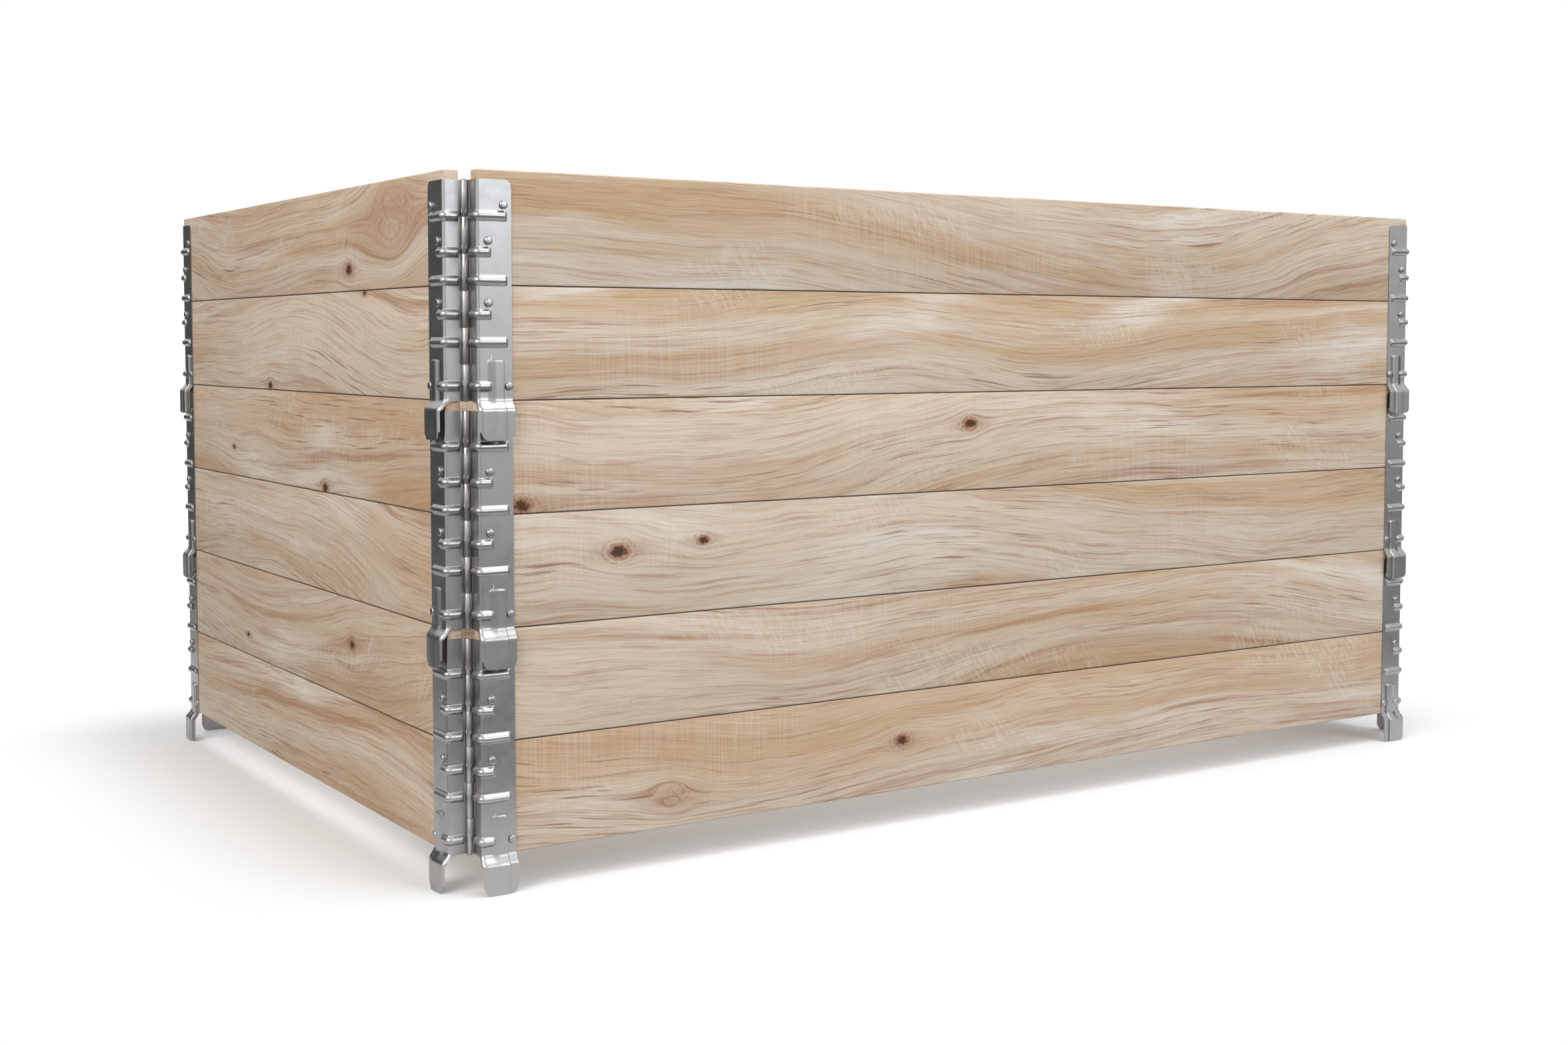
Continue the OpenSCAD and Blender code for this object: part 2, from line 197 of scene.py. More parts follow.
# Wood: its gloss, the strength and depth of its bumps, and its tones
WOOD_GLOSS = 0.35
WOOD_BUMP = 0.4
WOOD_RELIEF = 0.5 * MM
PALE = (0.74, 0.63, 0.505, 1)
BISCUIT = (0.6, 0.42, 0.26, 1)
CREAM = (0.83, 0.765, 0.68, 1)
RUSSET = (0.4, 0.21, 0.115, 1)
LINE_BROWN = (0.33, 0.195, 0.115, 1)
PORE_BROWN = (0.2, 0.105, 0.055, 1)
CRACK_BROWN = (0.26, 0.125, 0.065, 1)
KNOT_RED = (0.27, 0.11, 0.055, 1)
HEART_BROWN = (0.075, 0.032, 0.018, 1)
# Painted shade of the gap between boards, with its dust, along each joint
SEAM_DUST_AND_SHADE_BROWN = (0.05, 0.035, 0.025, 1)


# Camera, light and floor

def make_camera():
    data = bpy.data.cameras.new("camera")
    data.sensor_width = SENSOR
    data.lens = FOCAL_PX / PHOTO_W * SENSOR
    data.shift_y = (CENTRE_Y_PX - PHOTO_H / 2) / PHOTO_W
    data.clip_start = 0.05
    data.clip_end = 50
    camera = bpy.data.objects.new("camera", data)
    camera.location = CAMERA_AT
    camera.rotation_euler = (math.radians(90 - CAMERA_PITCH), 0, -math.radians(CAMERA_YAW))
    bpy.context.scene.collection.objects.link(camera)
    bpy.context.scene.camera = camera


def soft_box(name, place, aim, size, power, tint):
    data = bpy.data.lights.new(name, "AREA")
    data.shape = "RECTANGLE"
    data.size, data.size_y = size
    data.energy = power
    data.color = tint
    light = bpy.data.objects.new(name, data)
    light.location = place
    light.rotation_euler = (Vector(aim) - Vector(place)).to_track_quat("-Z", "Y").to_euler()
    bpy.context.scene.collection.objects.link(light)


class Tree:
    """A node tree with short calls for adding and linking nodes."""

    def __init__(self, tree):
        self.nodes, self.links = tree.nodes, tree.links

    def add(self, kind, inputs=None, **settings):
        node = self.nodes.new(kind)
        for key, value in settings.items():
            setattr(node, key, value)
        for key, value in (inputs or {}).items():
            self.feed(node.inputs[key], value)
        return node

    def feed(self, socket, value):
        if isinstance(value, bpy.types.NodeSocket):
            self.links.new(value, socket)
        else:
            socket.default_value = value

    def math(self, operation, a, b=0.0):
        return self.add("ShaderNodeMath", {0: a, 1: b}, operation=operation).outputs[0]

    def total(self, *values):
        result = values[0]
        for value in values[1:]:
            result = self.math("ADD", result, value)
        return result

    def product(self, *values):
        result = values[0]
        for value in values[1:]:
            result = self.math("MULTIPLY", result, value)
        return result

    def scaled(self, vector, x, y, z):
        return self.add("ShaderNodeVectorMath", {0: vector, 1: (x, y, z)}, operation="MULTIPLY").outputs[0]

    def length(self, vector):
        return self.add("ShaderNodeVectorMath", {0: vector}, operation="LENGTH").outputs["Value"]

    def ramp(self, value, low, high, to_low=0.0, to_high=1.0):
        """A smooth step from one value to another, which may also fall."""
        inputs = {"Value": value, "From Min": low, "From Max": high, "To Min": to_low, "To Max": to_high}
        return self.add("ShaderNodeMapRange", inputs, interpolation_type="SMOOTHSTEP").outputs[0]

    def mix(self, factor, a, b, blend="MIX"):
        node = self.add("ShaderNodeMix", data_type="RGBA", blend_type=blend)
        for name, value in (("Factor_Float", factor), ("A_Color", a), ("B_Color", b)):
            self.feed(next(s for s in node.inputs if s.identifier == name), value)
        return next(s for s in node.outputs if s.identifier == "Result_Color")

    def noise(self, vector, scale=1.0, detail=3.0, roughness=0.5):
        inputs = {"Vector": vector, "Scale": scale, "Detail": detail, "Roughness": roughness}
        return self.add("ShaderNodeTexNoise", inputs).outputs["Fac"]

    def band(self, phase, start, crest, end):
        """A line across a repeating phase, rising from start to crest and gone again at end."""
        return self.product(self.ramp(phase, start, crest), self.ramp(phase, crest, end, 1.0, 0.0))

    def seen(self):
        """1 where the camera, a shiny surface or glass looks, 0 where light is gathered."""
        rays = self.add("ShaderNodeLightPath").outputs
        seen = self.math("MAXIMUM", rays["Is Camera Ray"], rays["Is Glossy Ray"])
        return self.math("MAXIMUM", seen, rays["Is Transmission Ray"])


def make_world():
    world = bpy.data.worlds.new("studio")
    bpy.context.scene.world = world
    world.use_nodes = True
    t = Tree(world.node_tree)
    t.nodes.clear()
    way = t.add("ShaderNodeTexCoord").outputs["Generated"]
    height = t.add("ShaderNodeSeparateXYZ", {0: way}).outputs["Z"]
    facing = t.add("ShaderNodeVectorMath", {0: way, 1: ROOM_WAY}, operation="DOT_PRODUCT").outputs["Value"]
    upper = t.ramp(height, 0.1, 0.75)
    side = t.ramp(facing, -0.7, 0.7, ROOM_BACK, ROOM_FRONT)
    room = t.total(t.product(side, t.math("SUBTRACT", 1.0, upper)), t.product(upper, ROOM_OVER))
    studio = t.add("ShaderNodeBackground", {"Color": (1, 1, 1, 1), "Strength": room})
    white = t.add("ShaderNodeBackground", {"Color": (1, 1, 1, 1), "Strength": 1.0})
    mixed = t.add("ShaderNodeMixShader", {0: t.seen(), 1: studio.outputs[0], 2: white.outputs[0]})
    t.add("ShaderNodeOutputWorld", {"Surface": mixed.outputs[0]})


def make_sheet(name, half_x, half_y, place, material):
    """A flat sheet of the studio, lying at a place and turned by it."""
    shape = bmesh.new()
    sized = place @ Matrix.Diagonal((half_x, half_y, 1, 1))
    bmesh.ops.create_grid(shape, x_segments=1, y_segments=1, size=1, matrix=sized)
    mesh = bpy.data.meshes.new(name)
    shape.to_mesh(mesh)
    shape.free()
    mesh.materials.append(material)
    sheet = bpy.data.objects.new(name, mesh)
    bpy.context.scene.collection.objects.link(sheet)
    return sheet


def plain_material(name):
    material = bpy.data.materials.new(name)
    material.use_nodes = True
    t = Tree(material.node_tree)
    t.nodes.clear()
    return material, t


def make_floor():
    """White paper that takes the stack's shadow near it and is plain white further out."""
    material, t = plain_material("floor_paper")
    here = t.add("ShaderNodeTexCoord").outputs["Object"]
    mirrored = t.add("ShaderNodeVectorMath", {0: here}, operation="ABSOLUTE").outputs[0]
    corner = (COLLAR_L / 2, COLLAR_W / 2, 0)
    past = t.add("ShaderNodeVectorMath", {0: mirrored, 1: corner}, operation="SUBTRACT").outputs[0]
    outside = t.add("ShaderNodeVectorMath", {0: past, 1: (0, 0, 0)}, operation="MAXIMUM").outputs[0]
    pale = t.add("ShaderNodeBsdfDiffuse", {"Color": PAPER_PALE})
    white = t.add("ShaderNodeEmission", {"Color": (1, 1, 1, 1), "Strength": 1.0})
    fade = t.ramp(t.length(outside), 0.0, PAPER_SHADE)
    paper = t.add("ShaderNodeMixShader", {0: fade, 1: pale.outputs[0], 2: white.outputs[0]})
    grey = t.add("ShaderNodeBsdfDiffuse", {"Color": PAPER_GREY})
    mixed = t.add("ShaderNodeMixShader", {0: t.seen(), 1: grey.outputs[0], 2: paper.outputs[0]})
    t.add("ShaderNodeOutputMaterial", {"Surface": mixed.outputs[0]})
    make_sheet("floor", PAPER_HALF, PAPER_HALF, Matrix.Identity(4), material)


def make_flags():
    """Dark cards out of the picture, which give the steel something dark to show."""
    material, t = plain_material("flag_felt")
    felt = t.add("ShaderNodeBsdfDiffuse", {"Color": FELT_GREY})
    t.add("ShaderNodeOutputMaterial", {"Surface": felt.outputs[0]})
    upright = Matrix.Rotation(math.pi / 2, 4, "X")
    front_edge = -COLLAR_W / 2 - PAPER_SHADE - CARD_MARGIN
    left_edge = -COLLAR_L / 2 - PAPER_SHADE - CARD_MARGIN

    def standing(place, degrees):
        return Matrix.Translation(place) @ Matrix.Rotation(math.radians(degrees), 4, "Z") @ upright

    flags = (
        ("left_flag", 0.5, 0.6, standing((-1.8, 0.8, 0.6), 90)),
        ("back_left_flag", 3.0, 0.8, standing((-1.45, 4.1, 0.8), 82)),
        ("right_flag", 2.2, 0.6, standing((3.0, 0.9, 0.6), 90)),
        ("front_floor_flag", 5.5, 5.0, Matrix.Translation((2.5, front_edge - 5.0, CARD_LIFT))),
        ("left_floor_flag", 2.0, 3.0, Matrix.Translation((left_edge - 2.0, front_edge + 3.0, CARD_LIFT))),
    )
    for name, half_x, half_y, place in flags:
        make_sheet(name, half_x, half_y, place, material).visible_camera = False


# Materials

def new_group(name, inputs, outputs):
    group = bpy.data.node_groups.new(name, "ShaderNodeTree")
    for socket, kind in inputs:
        group.interface.new_socket(socket, in_out="INPUT", socket_type=kind)
    for socket, kind in outputs:
        group.interface.new_socket(socket, in_out="OUTPUT", socket_type=kind)
    t = Tree(group)
    return t, t.add("NodeGroupInput").outputs, t.add("NodeGroupOutput").inputs


def knot_group():
    """One knot on a board's face: how it pushes the grain aside, its heart, its rings and the stain round it."""
    t, given, out = new_group(
        "knot",
        [("Place", "NodeSocketVector"), ("Centre", "NodeSocketVector"), ("Radius", "NodeSocketFloat"),
         ("Dark", "NodeSocketFloat")],
        [("Push", "NodeSocketFloat"), ("Heart", "NodeSocketFloat"), ("Rings", "NodeSocketFloat"),
         ("Stain", "NodeSocketFloat")],
    )
    away = t.add("ShaderNodeVectorMath", {0: given["Place"], 1: given["Centre"]}, operation="SUBTRACT").outputs[0]
    inverse = t.math("DIVIDE", 1.0, given["Radius"])
    away = t.add("ShaderNodeVectorMath", {0: away, "Scale": inverse}, operation="SCALE").outputs[0]
    split = t.add("ShaderNodeSeparateXYZ", {0: away})
    far = t.length(t.scaled(away, 0.66, 1.0, 0.0))
    rough = t.noise(given["Place"], 230.0, 3.0, 0.6)
    ragged = t.total(far, t.product(t.math("SUBTRACT", rough, 0.5), 1.0))
    spread = t.total(t.product(far, far), 0.5)
    t.feed(out["Push"], t.product(t.math("DIVIDE", split.outputs["Y"], spread), given["Radius"], -1.3))
    t.feed(out["Heart"], t.product(t.ramp(ragged, 0.2, 0.8, 1.0, 0.0), given["Dark"]))
    ring = t.math("FRACT", t.product(ragged, 2.3))
    t.feed(out["Rings"], t.product(t.band(ring, 0.4, 0.75, 1.0), t.ramp(far, 0.7, 1.5, 1.0, 0.0), given["Dark"]))
    tail = t.length(t.scaled(away, 0.3, 1.0, 0.0))
    t.feed(out["Stain"], t.product(t.ramp(tail, 0.2, 1.5, 1.0, 0.0), t.ramp(rough, 0.25, 0.7, 0.35, 1.0)))


def wood_group():
    """Figure of sawn wood: place is along the grain, across it and through the board, in metres."""
    t, given, out = new_group(
        "wood_figure",
        [("Place", "NodeSocketVector"), ("Push", "NodeSocketFloat"), ("Heart", "NodeSocketFloat"),
         ("Rings", "NodeSocketFloat"), ("Stain", "NodeSocketFloat"), ("Seam", "NodeSocketFloat")],
        [("Color", "NodeSocketColor"), ("Roughness", "NodeSocketFloat"), ("Height", "NodeSocketFloat")],
    )
    split = t.add("ShaderNodeSeparateXYZ", {0: given["Place"]}).outputs
    along, through = split["X"], split["Z"]
    across = t.total(split["Y"], given["Push"])
    passed = t.add("ShaderNodeCombineXYZ", {0: along, 1: across, 2: through}).outputs[0]
    # The grain sweeps across the board in wide arcs, with a smaller waver in them
    sweep = t.math("SUBTRACT", t.noise(t.scaled(passed, 1.5, 3.2, 3.4), 1.0, 1.5, 0.4), 0.5)
    waver = t.math("SUBTRACT", t.noise(t.scaled(passed, 7.0, 15.0, 8.0), 1.0, 2.0, 0.5), 0.5)
    flow = t.total(across, t.product(sweep, 0.2), t.product(waver, 0.014))
    grain = t.add("ShaderNodeCombineXYZ", {0: along, 1: flow, 2: through}).outputs[0]

    def drawn(stretch_along, stretch_across, detail=3.0, roughness=0.5):
        return t.noise(t.scaled(grain, stretch_along, stretch_across, stretch_across * 0.3), 1.0, detail, roughness)

    # Growth lines: a slow darkening that ends in a thin brown line, here and there fading out
    growth = t.math("FRACT", t.total(t.product(flow, 58.0), t.product(drawn(3.0, 26.0), 1.1)))
    strength = t.ramp(drawn(1.6, 30.0, 2.0), 0.44, 0.68, 0.1, 1.0)
    line = t.product(t.band(growth, 0.88, 0.965, 1.0), strength)
    shade = t.product(growth, growth, strength)
    fine = t.math("FRACT", t.total(t.product(flow, 230.0), t.product(drawn(4.0, 60.0), 1.4)))
    fine_line = t.product(t.band(fine, 0.5, 0.85, 1.0), t.ramp(drawn(2.2, 34.0, 2.0), 0.5, 0.66))
    # Broad tints, russet streaks and bleached patches
    tint = drawn(1.0, 17.0, 4.0, 0.55)
    streak = t.product(t.ramp(drawn(1.9, 74.0, 5.0, 0.72), 0.48, 0.68), t.ramp(drawn(1.5, 12.0, 1.0), 0.43, 0.62))
    strand = t.ramp(drawn(9.0, 330.0, 4.0, 0.7), 0.48, 0.74)
    bleach = t.ramp(drawn(2.6, 15.0, 3.0, 0.6), 0.53, 0.72)
    # Fibres, open pores and the short dark cracks between them
    fibre = drawn(26.0, 900.0, 3.0, 0.65)
    pore = t.ramp(drawn(110.0, 1500.0, 2.0), 0.67, 0.76)
    crack = t.product(t.ramp(drawn(13.0, 520.0, 3.0), 0.58, 0.68), t.ramp(drawn(3.0, 22.0, 2.0), 0.46, 0.62))
    # Saw marks: slanting chatter in patches and faint upright lines
    slanted = t.add("ShaderNodeMapping", {"Vector": passed, "Rotation": (0, 0, math.radians(57))}).outputs[0]
    chatter = t.ramp(t.noise(t.scaled(slanted, 75.0, 330.0, 20.0), 1.0, 2.0), 0.4, 0.66)
    chatter = t.product(chatter, t.ramp(t.noise(t.scaled(passed, 5.0, 13.0, 5.0), 1.0, 2.0), 0.55, 0.68))
    upright = t.ramp(t.noise(t.scaled(passed, 520.0, 14.0, 14.0), 1.0, 2.0), 0.35, 0.7)
    upright = t.product(upright, t.ramp(t.noise(t.scaled(passed, 3.0, 7.0, 5.0), 1.0, 2.0), 0.48, 0.62))

    colour = t.mix(t.ramp(tint, 0.4, 0.68), PALE, BISCUIT)
    layers = (
        (bleach, CREAM),
        (t.product(shade, 0.2), RUSSET),
        (t.product(line, 0.4), LINE_BROWN),
        (t.product(fine_line, 0.24), RUSSET),
        (t.product(streak, 0.85), RUSSET),
        (t.product(strand, 0.65), RUSSET),
        (t.ramp(fibre, 0.42, 0.8, 0.0, 0.42), RUSSET),
        (t.ramp(fibre, 0.2, 0.44, 0.42, 0.0), CREAM),
        (t.product(chatter, 0.3), CREAM),
        (t.product(upright, 0.18), CREAM),
        (t.product(pore, 0.3), PORE_BROWN),
        (t.product(crack, 0.75), CRACK_BROWN),
        (t.product(given["Stain"], 0.65), RUSSET),
        (t.product(given["Rings"], 0.75), KNOT_RED),
        (t.ramp(given["Heart"], 0.05, 0.5), KNOT_RED),
        (t.ramp(given["Heart"], 0.45, 0.95), HEART_BROWN),
        # Painted shade of the gaps between boards, with their dust, along the joints
        (t.product(given["Seam"], 0.75), SEAM_DUST_AND_SHADE_BROWN),
    )
    for share, tone in layers:
        colour = t.mix(share, colour, tone)
    height = t.total(t.product(fibre, 0.5), t.product(chatter, 0.35), t.product(line, -0.3),
                     t.product(crack, -0.9), t.product(given["Heart"], -0.6))
    t.feed(out["Color"], colour)
    t.feed(out["Roughness"], t.ramp(fibre, 0.2, 0.8, 0.6, 0.8))
    t.feed(out["Height"], height)


def spare_knots(chance, node, along_y):
    """A knot or none on a wall that the photograph doesn't show."""
    low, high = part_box(node)
    start, end = (low.y, high.y) if along_y else (low.x, high.x)
    if ("back" in node or "right" in node) and chance.random() < 0.6:
        return ((chance.uniform(start, end), chance.uniform(low.z, high.z), chance.uniform(0.004, 0.009), 1),)
    return (HIDDEN_KNOT,)


def seam_dust_and_shade_mask(t, node, height):
    """1 in a narrow band on a board's long edge where the next board meets it: painted shade of the gap, and its dust.
    """
    low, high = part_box(node)
    lowest, highest = node.startswith("bottom") and "lower" in node, node.startswith("top") and "upper" in node
    gaps = []
    if not lowest:
        gaps.append(t.math("SUBTRACT", height, low.z))
    if not highest:
        gaps.append(t.math("SUBTRACT", high.z, height))
    near = gaps[0] if len(gaps) == 1 else t.math("MINIMUM", *gaps)
    return t.ramp(near, 0.3 * MM, 1.0 * MM, 1.0, 0.0)


def wood_material(node, seed, along_y):
    material, t = plain_material(node + "_wood")
    split = t.add("ShaderNodeSeparateXYZ", {0: t.add("ShaderNodeTexCoord").outputs["Object"]}).outputs
    along, through = (split["Y"], split["X"]) if along_y else (split["X"], split["Y"])
    place = t.add("ShaderNodeCombineXYZ", {0: along, 1: split["Z"], 2: through}).outputs[0]
    # Each board is its own cut from the log, with a slight lean
    chance = random.Random(seed)
    shift = (chance.uniform(3, 60), chance.uniform(3, 60), chance.uniform(0, 9))
    lean = math.radians(chance.uniform(-2, 2))
    cut = t.add("ShaderNodeMapping", {"Vector": place, "Location": shift, "Rotation": (0, 0, lean)}).outputs[0]
    marks = None
    for centre_along, centre_up, radius, dark in KNOTS.get(node) or spare_knots(chance, node, along_y):
        knot = t.add("ShaderNodeGroup", node_tree=bpy.data.node_groups["knot"])
        t.feed(knot.inputs["Place"], place)
        knot.inputs["Centre"].default_value = (centre_along, centre_up, 0)
        knot.inputs["Radius"].default_value = radius
        knot.inputs["Dark"].default_value = dark
        own = [knot.outputs[key] for key in ("Push", "Heart", "Rings", "Stain")]
        marks = own if marks is None else [t.total(a, b) for a, b in zip(marks, own)]
    figure = t.add("ShaderNodeGroup", node_tree=bpy.data.node_groups["wood_figure"])
    fed = [cut] + marks + [seam_dust_and_shade_mask(t, node, split["Z"])]
    for key, value in zip(("Place", "Push", "Heart", "Rings", "Stain", "Seam"), fed):
        t.feed(figure.inputs[key], value)
    bright = chance.uniform(0.95, 1.04)
    warm = chance.uniform(0.965, 1.01)
    colour = t.mix(1.0, figure.outputs["Color"], (bright, bright * (1 + warm) / 2, bright * warm, 1), "MULTIPLY")
    bump = t.add("ShaderNodeBump", {"Height": figure.outputs["Height"], "Strength": WOOD_BUMP, "Distance": WOOD_RELIEF})
    shader = t.add("ShaderNodeBsdfPrincipled", {
        "Base Color": colour, "Roughness": figure.outputs["Roughness"], "Normal": bump.outputs[0],
        "Specular IOR Level": WOOD_GLOSS,
    })
    t.add("ShaderNodeOutputMaterial", {"Surface": shader.outputs[0]})
    return material


def zinc_group():
    """Satin zinc on sheet steel: fine speckle, faint blotches and slow changes of gloss."""
    t, given, out = new_group(
        "zinc_skin",
        [("Base", "NodeSocketColor")],
        [("Color", "NodeSocketColor"), ("Roughness", "NodeSocketFloat"), ("Height", "NodeSocketFloat")],
    )
    here = t.add("ShaderNodeTexCoord").outputs["Object"]
    speckle = t.noise(here, 1400.0, 2.0, 0.5)
    bloom = t.noise(here, 95.0, 4.0, 0.6)
    drift = t.noise(here, 15.0, 3.0, 0.5)
    colour = t.mix(t.ramp(speckle, 0.3, 0.75, 0.0, 0.16), given["Base"], SPECKLE_GREY)
    colour = t.mix(t.ramp(bloom, 0.4, 0.75, 0.0, 0.14), colour, BLOOM_GREY)
    rough = t.total(t.ramp(bloom, 0.3, 0.7, 0.31, 0.37), t.ramp(drift, 0.3, 0.7, -0.03, 0.04))
    t.feed(out["Color"], colour)
    t.feed(out["Roughness"], rough)
    t.feed(out["Height"], t.total(speckle, t.product(bloom, 0.6)))


def steel_material(name, base, bump_strength):
    material, t = plain_material(name)
    skin = t.add("ShaderNodeGroup", node_tree=bpy.data.node_groups["zinc_skin"])
    skin.inputs["Base"].default_value = base
    bump = t.add("ShaderNodeBump", {
        "Height": skin.outputs["Height"], "Strength": bump_strength, "Distance": ZINC_RELIEF,
    })
    shader = t.add("ShaderNodeBsdfPrincipled", {
        "Base Color": skin.outputs["Color"], "Roughness": skin.outputs["Roughness"], "Normal": bump.outputs[0],
        "Metallic": 1.0,
    })
    t.add("ShaderNodeOutputMaterial", {"Surface": shader.outputs[0]})
    return material


# Shapes

def kept(shape, name):
    """Keep a finished shape as a mesh to repeat, its doubles merged and its faces turned outwards."""
    bmesh.ops.remove_doubles(shape, verts=shape.verts, dist=MERGE_DISTANCE)
    bmesh.ops.recalc_face_normals(shape, faces=shape.faces)
    mesh = bpy.data.meshes.new(name)
    shape.to_mesh(mesh)
    shape.free()
    return mesh


def gather(parts):
    """One shape from meshes and their places; a mirrored one has its faces turned back."""
    shape = bmesh.new()
    for mesh, place in parts:
        old_points, old_faces = len(shape.verts), len(shape.faces)
        shape.from_mesh(mesh)
        shape.verts.ensure_lookup_table()
        shape.faces.ensure_lookup_table()
        bmesh.ops.transform(shape, matrix=place, verts=shape.verts[old_points:])
        if place.determinant() < 0:
            bmesh.ops.reverse_faces(shape, faces=shape.faces[old_faces:])
    return shape


def make_piece(name, shape, material, body, replaced, crease_angle):
    mesh = bpy.data.meshes.new(name)
    shape.to_mesh(mesh)
    shape.free()
    mesh.materials.append(material)
    mesh.shade_smooth()
    mesh.set_sharp_from_angle(angle=math.radians(crease_angle))
    piece = bpy.data.objects.new(name, mesh)
    bpy.context.scene.collection.objects.link(piece)
    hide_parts(replaced)
    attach(piece, body)


def turned(profile, steps=24):
    """A shape spun round Z from (radius, height) points."""
    shape = bmesh.new()
    points = [shape.verts.new((radius, 0, height)) for radius, height in profile]
    edges = [shape.edges.new(pair) for pair in zip(points, points[1:])]
    bmesh.ops.spin(shape, geom=points + edges, cent=(0, 0, 0), axis=(0, 0, 1), angle=2 * math.pi, steps=steps,
                   use_merge=True)
    return shape


def block(low, high, ease=0.0):
    """A block between two corners, its edges eased."""
    shape = bmesh.new()
    low, high = Vector(low), Vector(high)
    size = high - low
    place = Matrix.Translation((low + high) / 2) @ Matrix.Diagonal((size.x, size.y, size.z, 1))
    bmesh.ops.create_cube(shape, size=1, matrix=place)
    if ease:
        bmesh.ops.bevel(shape, geom=shape.edges[:], offset=ease, segments=2, profile=0.5, affect="EDGES", material=-1)
    return shape


def wall_matrix(side, level):
    """From a wall's own frame, x from its middle and y from its outer face inwards, to the row frame."""
    turn = SIDES.index(side)
    depth = COLLAR_W if turn % 2 == 0 else COLLAR_L
    foot = TONGUE_DROP + LEVELS.index(level) * COLLAR_H
    return Matrix.Rotation(math.pi / 2 * turn, 4, "Z") @ Matrix.Translation((0, -depth / 2, foot))


def end_matrices(side):
    """From a corner's frame, x from the corner inwards, to both ends of a wall."""
    span = COLLAR_L if side in ("front", "back") else COLLAR_W
    left = Matrix.Translation((-span / 2, 0, 0))
    right = Matrix.Translation((span / 2, 0, 0)) @ Matrix.Scale(-1, 4, (1, 0, 0))
    return left, right


# The pressed leaf

def smooth(x):
    x = min(max(x, 0.0), 1.0)
    return x * x * (3 - 2 * x)


def rounded(x, power=2.3):
    """From 0 at x = 0 up to 1 at x = 1, steep first, like the round of a pressing's flank."""
    x = 1 - min(max(x, 0.0), 1.0)
    return (1 - x ** power) ** (1 / power)


def pressed(x):
    """From 0 up to 1 like smooth, but quicker to leave the foot than to reach the crest."""
    return smooth(x) ** 0.8


def corner_dip(off, radius):
    """How far a rounded corner falls away, off past the point where it starts."""
    return radius - math.sqrt(max(radius ** 2 - min(max(off, 0), radius) ** 2, 0))


def step_out(z):
    """How far the sheet stands out of the flange's plane at a height, through the step to the tongue."""
    return STEP_OUT * smooth((STEP_TOP - z) / (STEP_TOP - STEP_FOOT))


def rib_press(reach_at, web_at, z):
    """How far the ribs stand out of the sheet, at a reach along the flange and a depth along the web."""
    height = 0.0
    for drop, reach in zip(RIB_DROPS, RIB_REACHES):
        off = abs(z - COLLAR_H * (1 - drop)) / RIB_HALF
        if off < 1:
            ends = pressed((reach - reach_at) / RIB_END_R) * rounded((RIB_WEB_END - web_at) / RIB_END_R)
            height = max(height, RIB_H * pressed((1 - off) / RIB_FLANK) * ends)
    return height


def boss_press(s, z):
    """How far the boss stands out: steep on its right and at its top, gentle on its left, wider on the tongue."""
    dip = corner_dip(s - (BOSS_RIGHT - BOSS_CORNER_R), BOSS_CORNER_R)
    dip += corner_dip(BOSS_LEFT + BOSS_RAMP - s, BOSS_RAMP) / 2
    low = FLARE_SHARE * smooth((FLARE_TOP - z) / FLARE_RUN)
    level = low + (1 - low) * smooth((s - BOSS_LEFT) / BOSS_RAMP)
    return BOSS_H * level * rounded((BOSS_RIGHT - s) / BOSS_FLANK) * rounded((BOSS_TOP - dip - z) / BOSS_CREST)


def web_edge(z):
    """How deep the web reaches at a height: the notch under it curves down to the tongue's edge."""
    knots = ((-0.4, 13.5), (-0.7, 6.0), (-1.0, 3.6), (-2.4, 1.6), (-4.6, -0.9), (-6.8, -3.4), (-8.8, -5.0))
    if z > knots[0][0] * MM:
        return BOARD_T
    for (high, y_high), (low, y_low) in zip(knots, knots[1:]):
        if z >= low * MM:
            return (y_high + (y_low - y_high) * (z / MM - high) / (low - high)) * MM
    return TONGUE_EDGE


def leaf_point(column, z, lift):
    """A point of the leaf at a column of its section and a height; lift is -SHEET on the inner skin."""
    kind, value = column
    out = step_out(z)
    if kind == "flange":
        rib, boss = rib_press(value, 0, z), boss_press(value, z)
        press = (rib ** 4 + boss ** 4) ** 0.25
        return Vector((value, -SHEET - out - press - lift, z))
    bend_foot, edge = BEND_Y - out, web_edge(z)
    if kind == "web" and edge > bend_foot:
        y = bend_foot + (edge - bend_foot) * value
        return Vector((WEB_FACE - rib_press(BEND_X, y, z) - lift, y, z))
    share = value if kind == "bend" else 1.0
    full = math.pi / 2 if edge >= bend_foot else math.acos(max(min((bend_foot - edge) / BEND_R, 1.0), -1.0))
    press = max(rib_press(BEND_X, 0, z), boss_press(BEND_X, z))
    radius = BEND_R + press + lift
    return Vector((BEND_X - radius * math.sin(full * share), bend_foot - radius * math.cos(full * share), z))


def stations(marks, step):
    """The marks in order, with even stations no more than a step apart between them."""
    marks = sorted(set(round(m, 7) for m in marks))
    placed = []
    for a, b in zip(marks, marks[1:]):
        count = max(1, math.ceil((b - a) / step - 1e-6))
        placed += [a + (b - a) * i / count for i in range(count)]
    return placed + [marks[-1]]


FLANK_SHARES = (0.0, 0.06, 0.2, 0.42, 0.7, 1.0)
RIB_SHARES = (0.0, 0.3, 0.5, 0.68, 0.82, 0.92, 0.98, 1.0, 1.08)


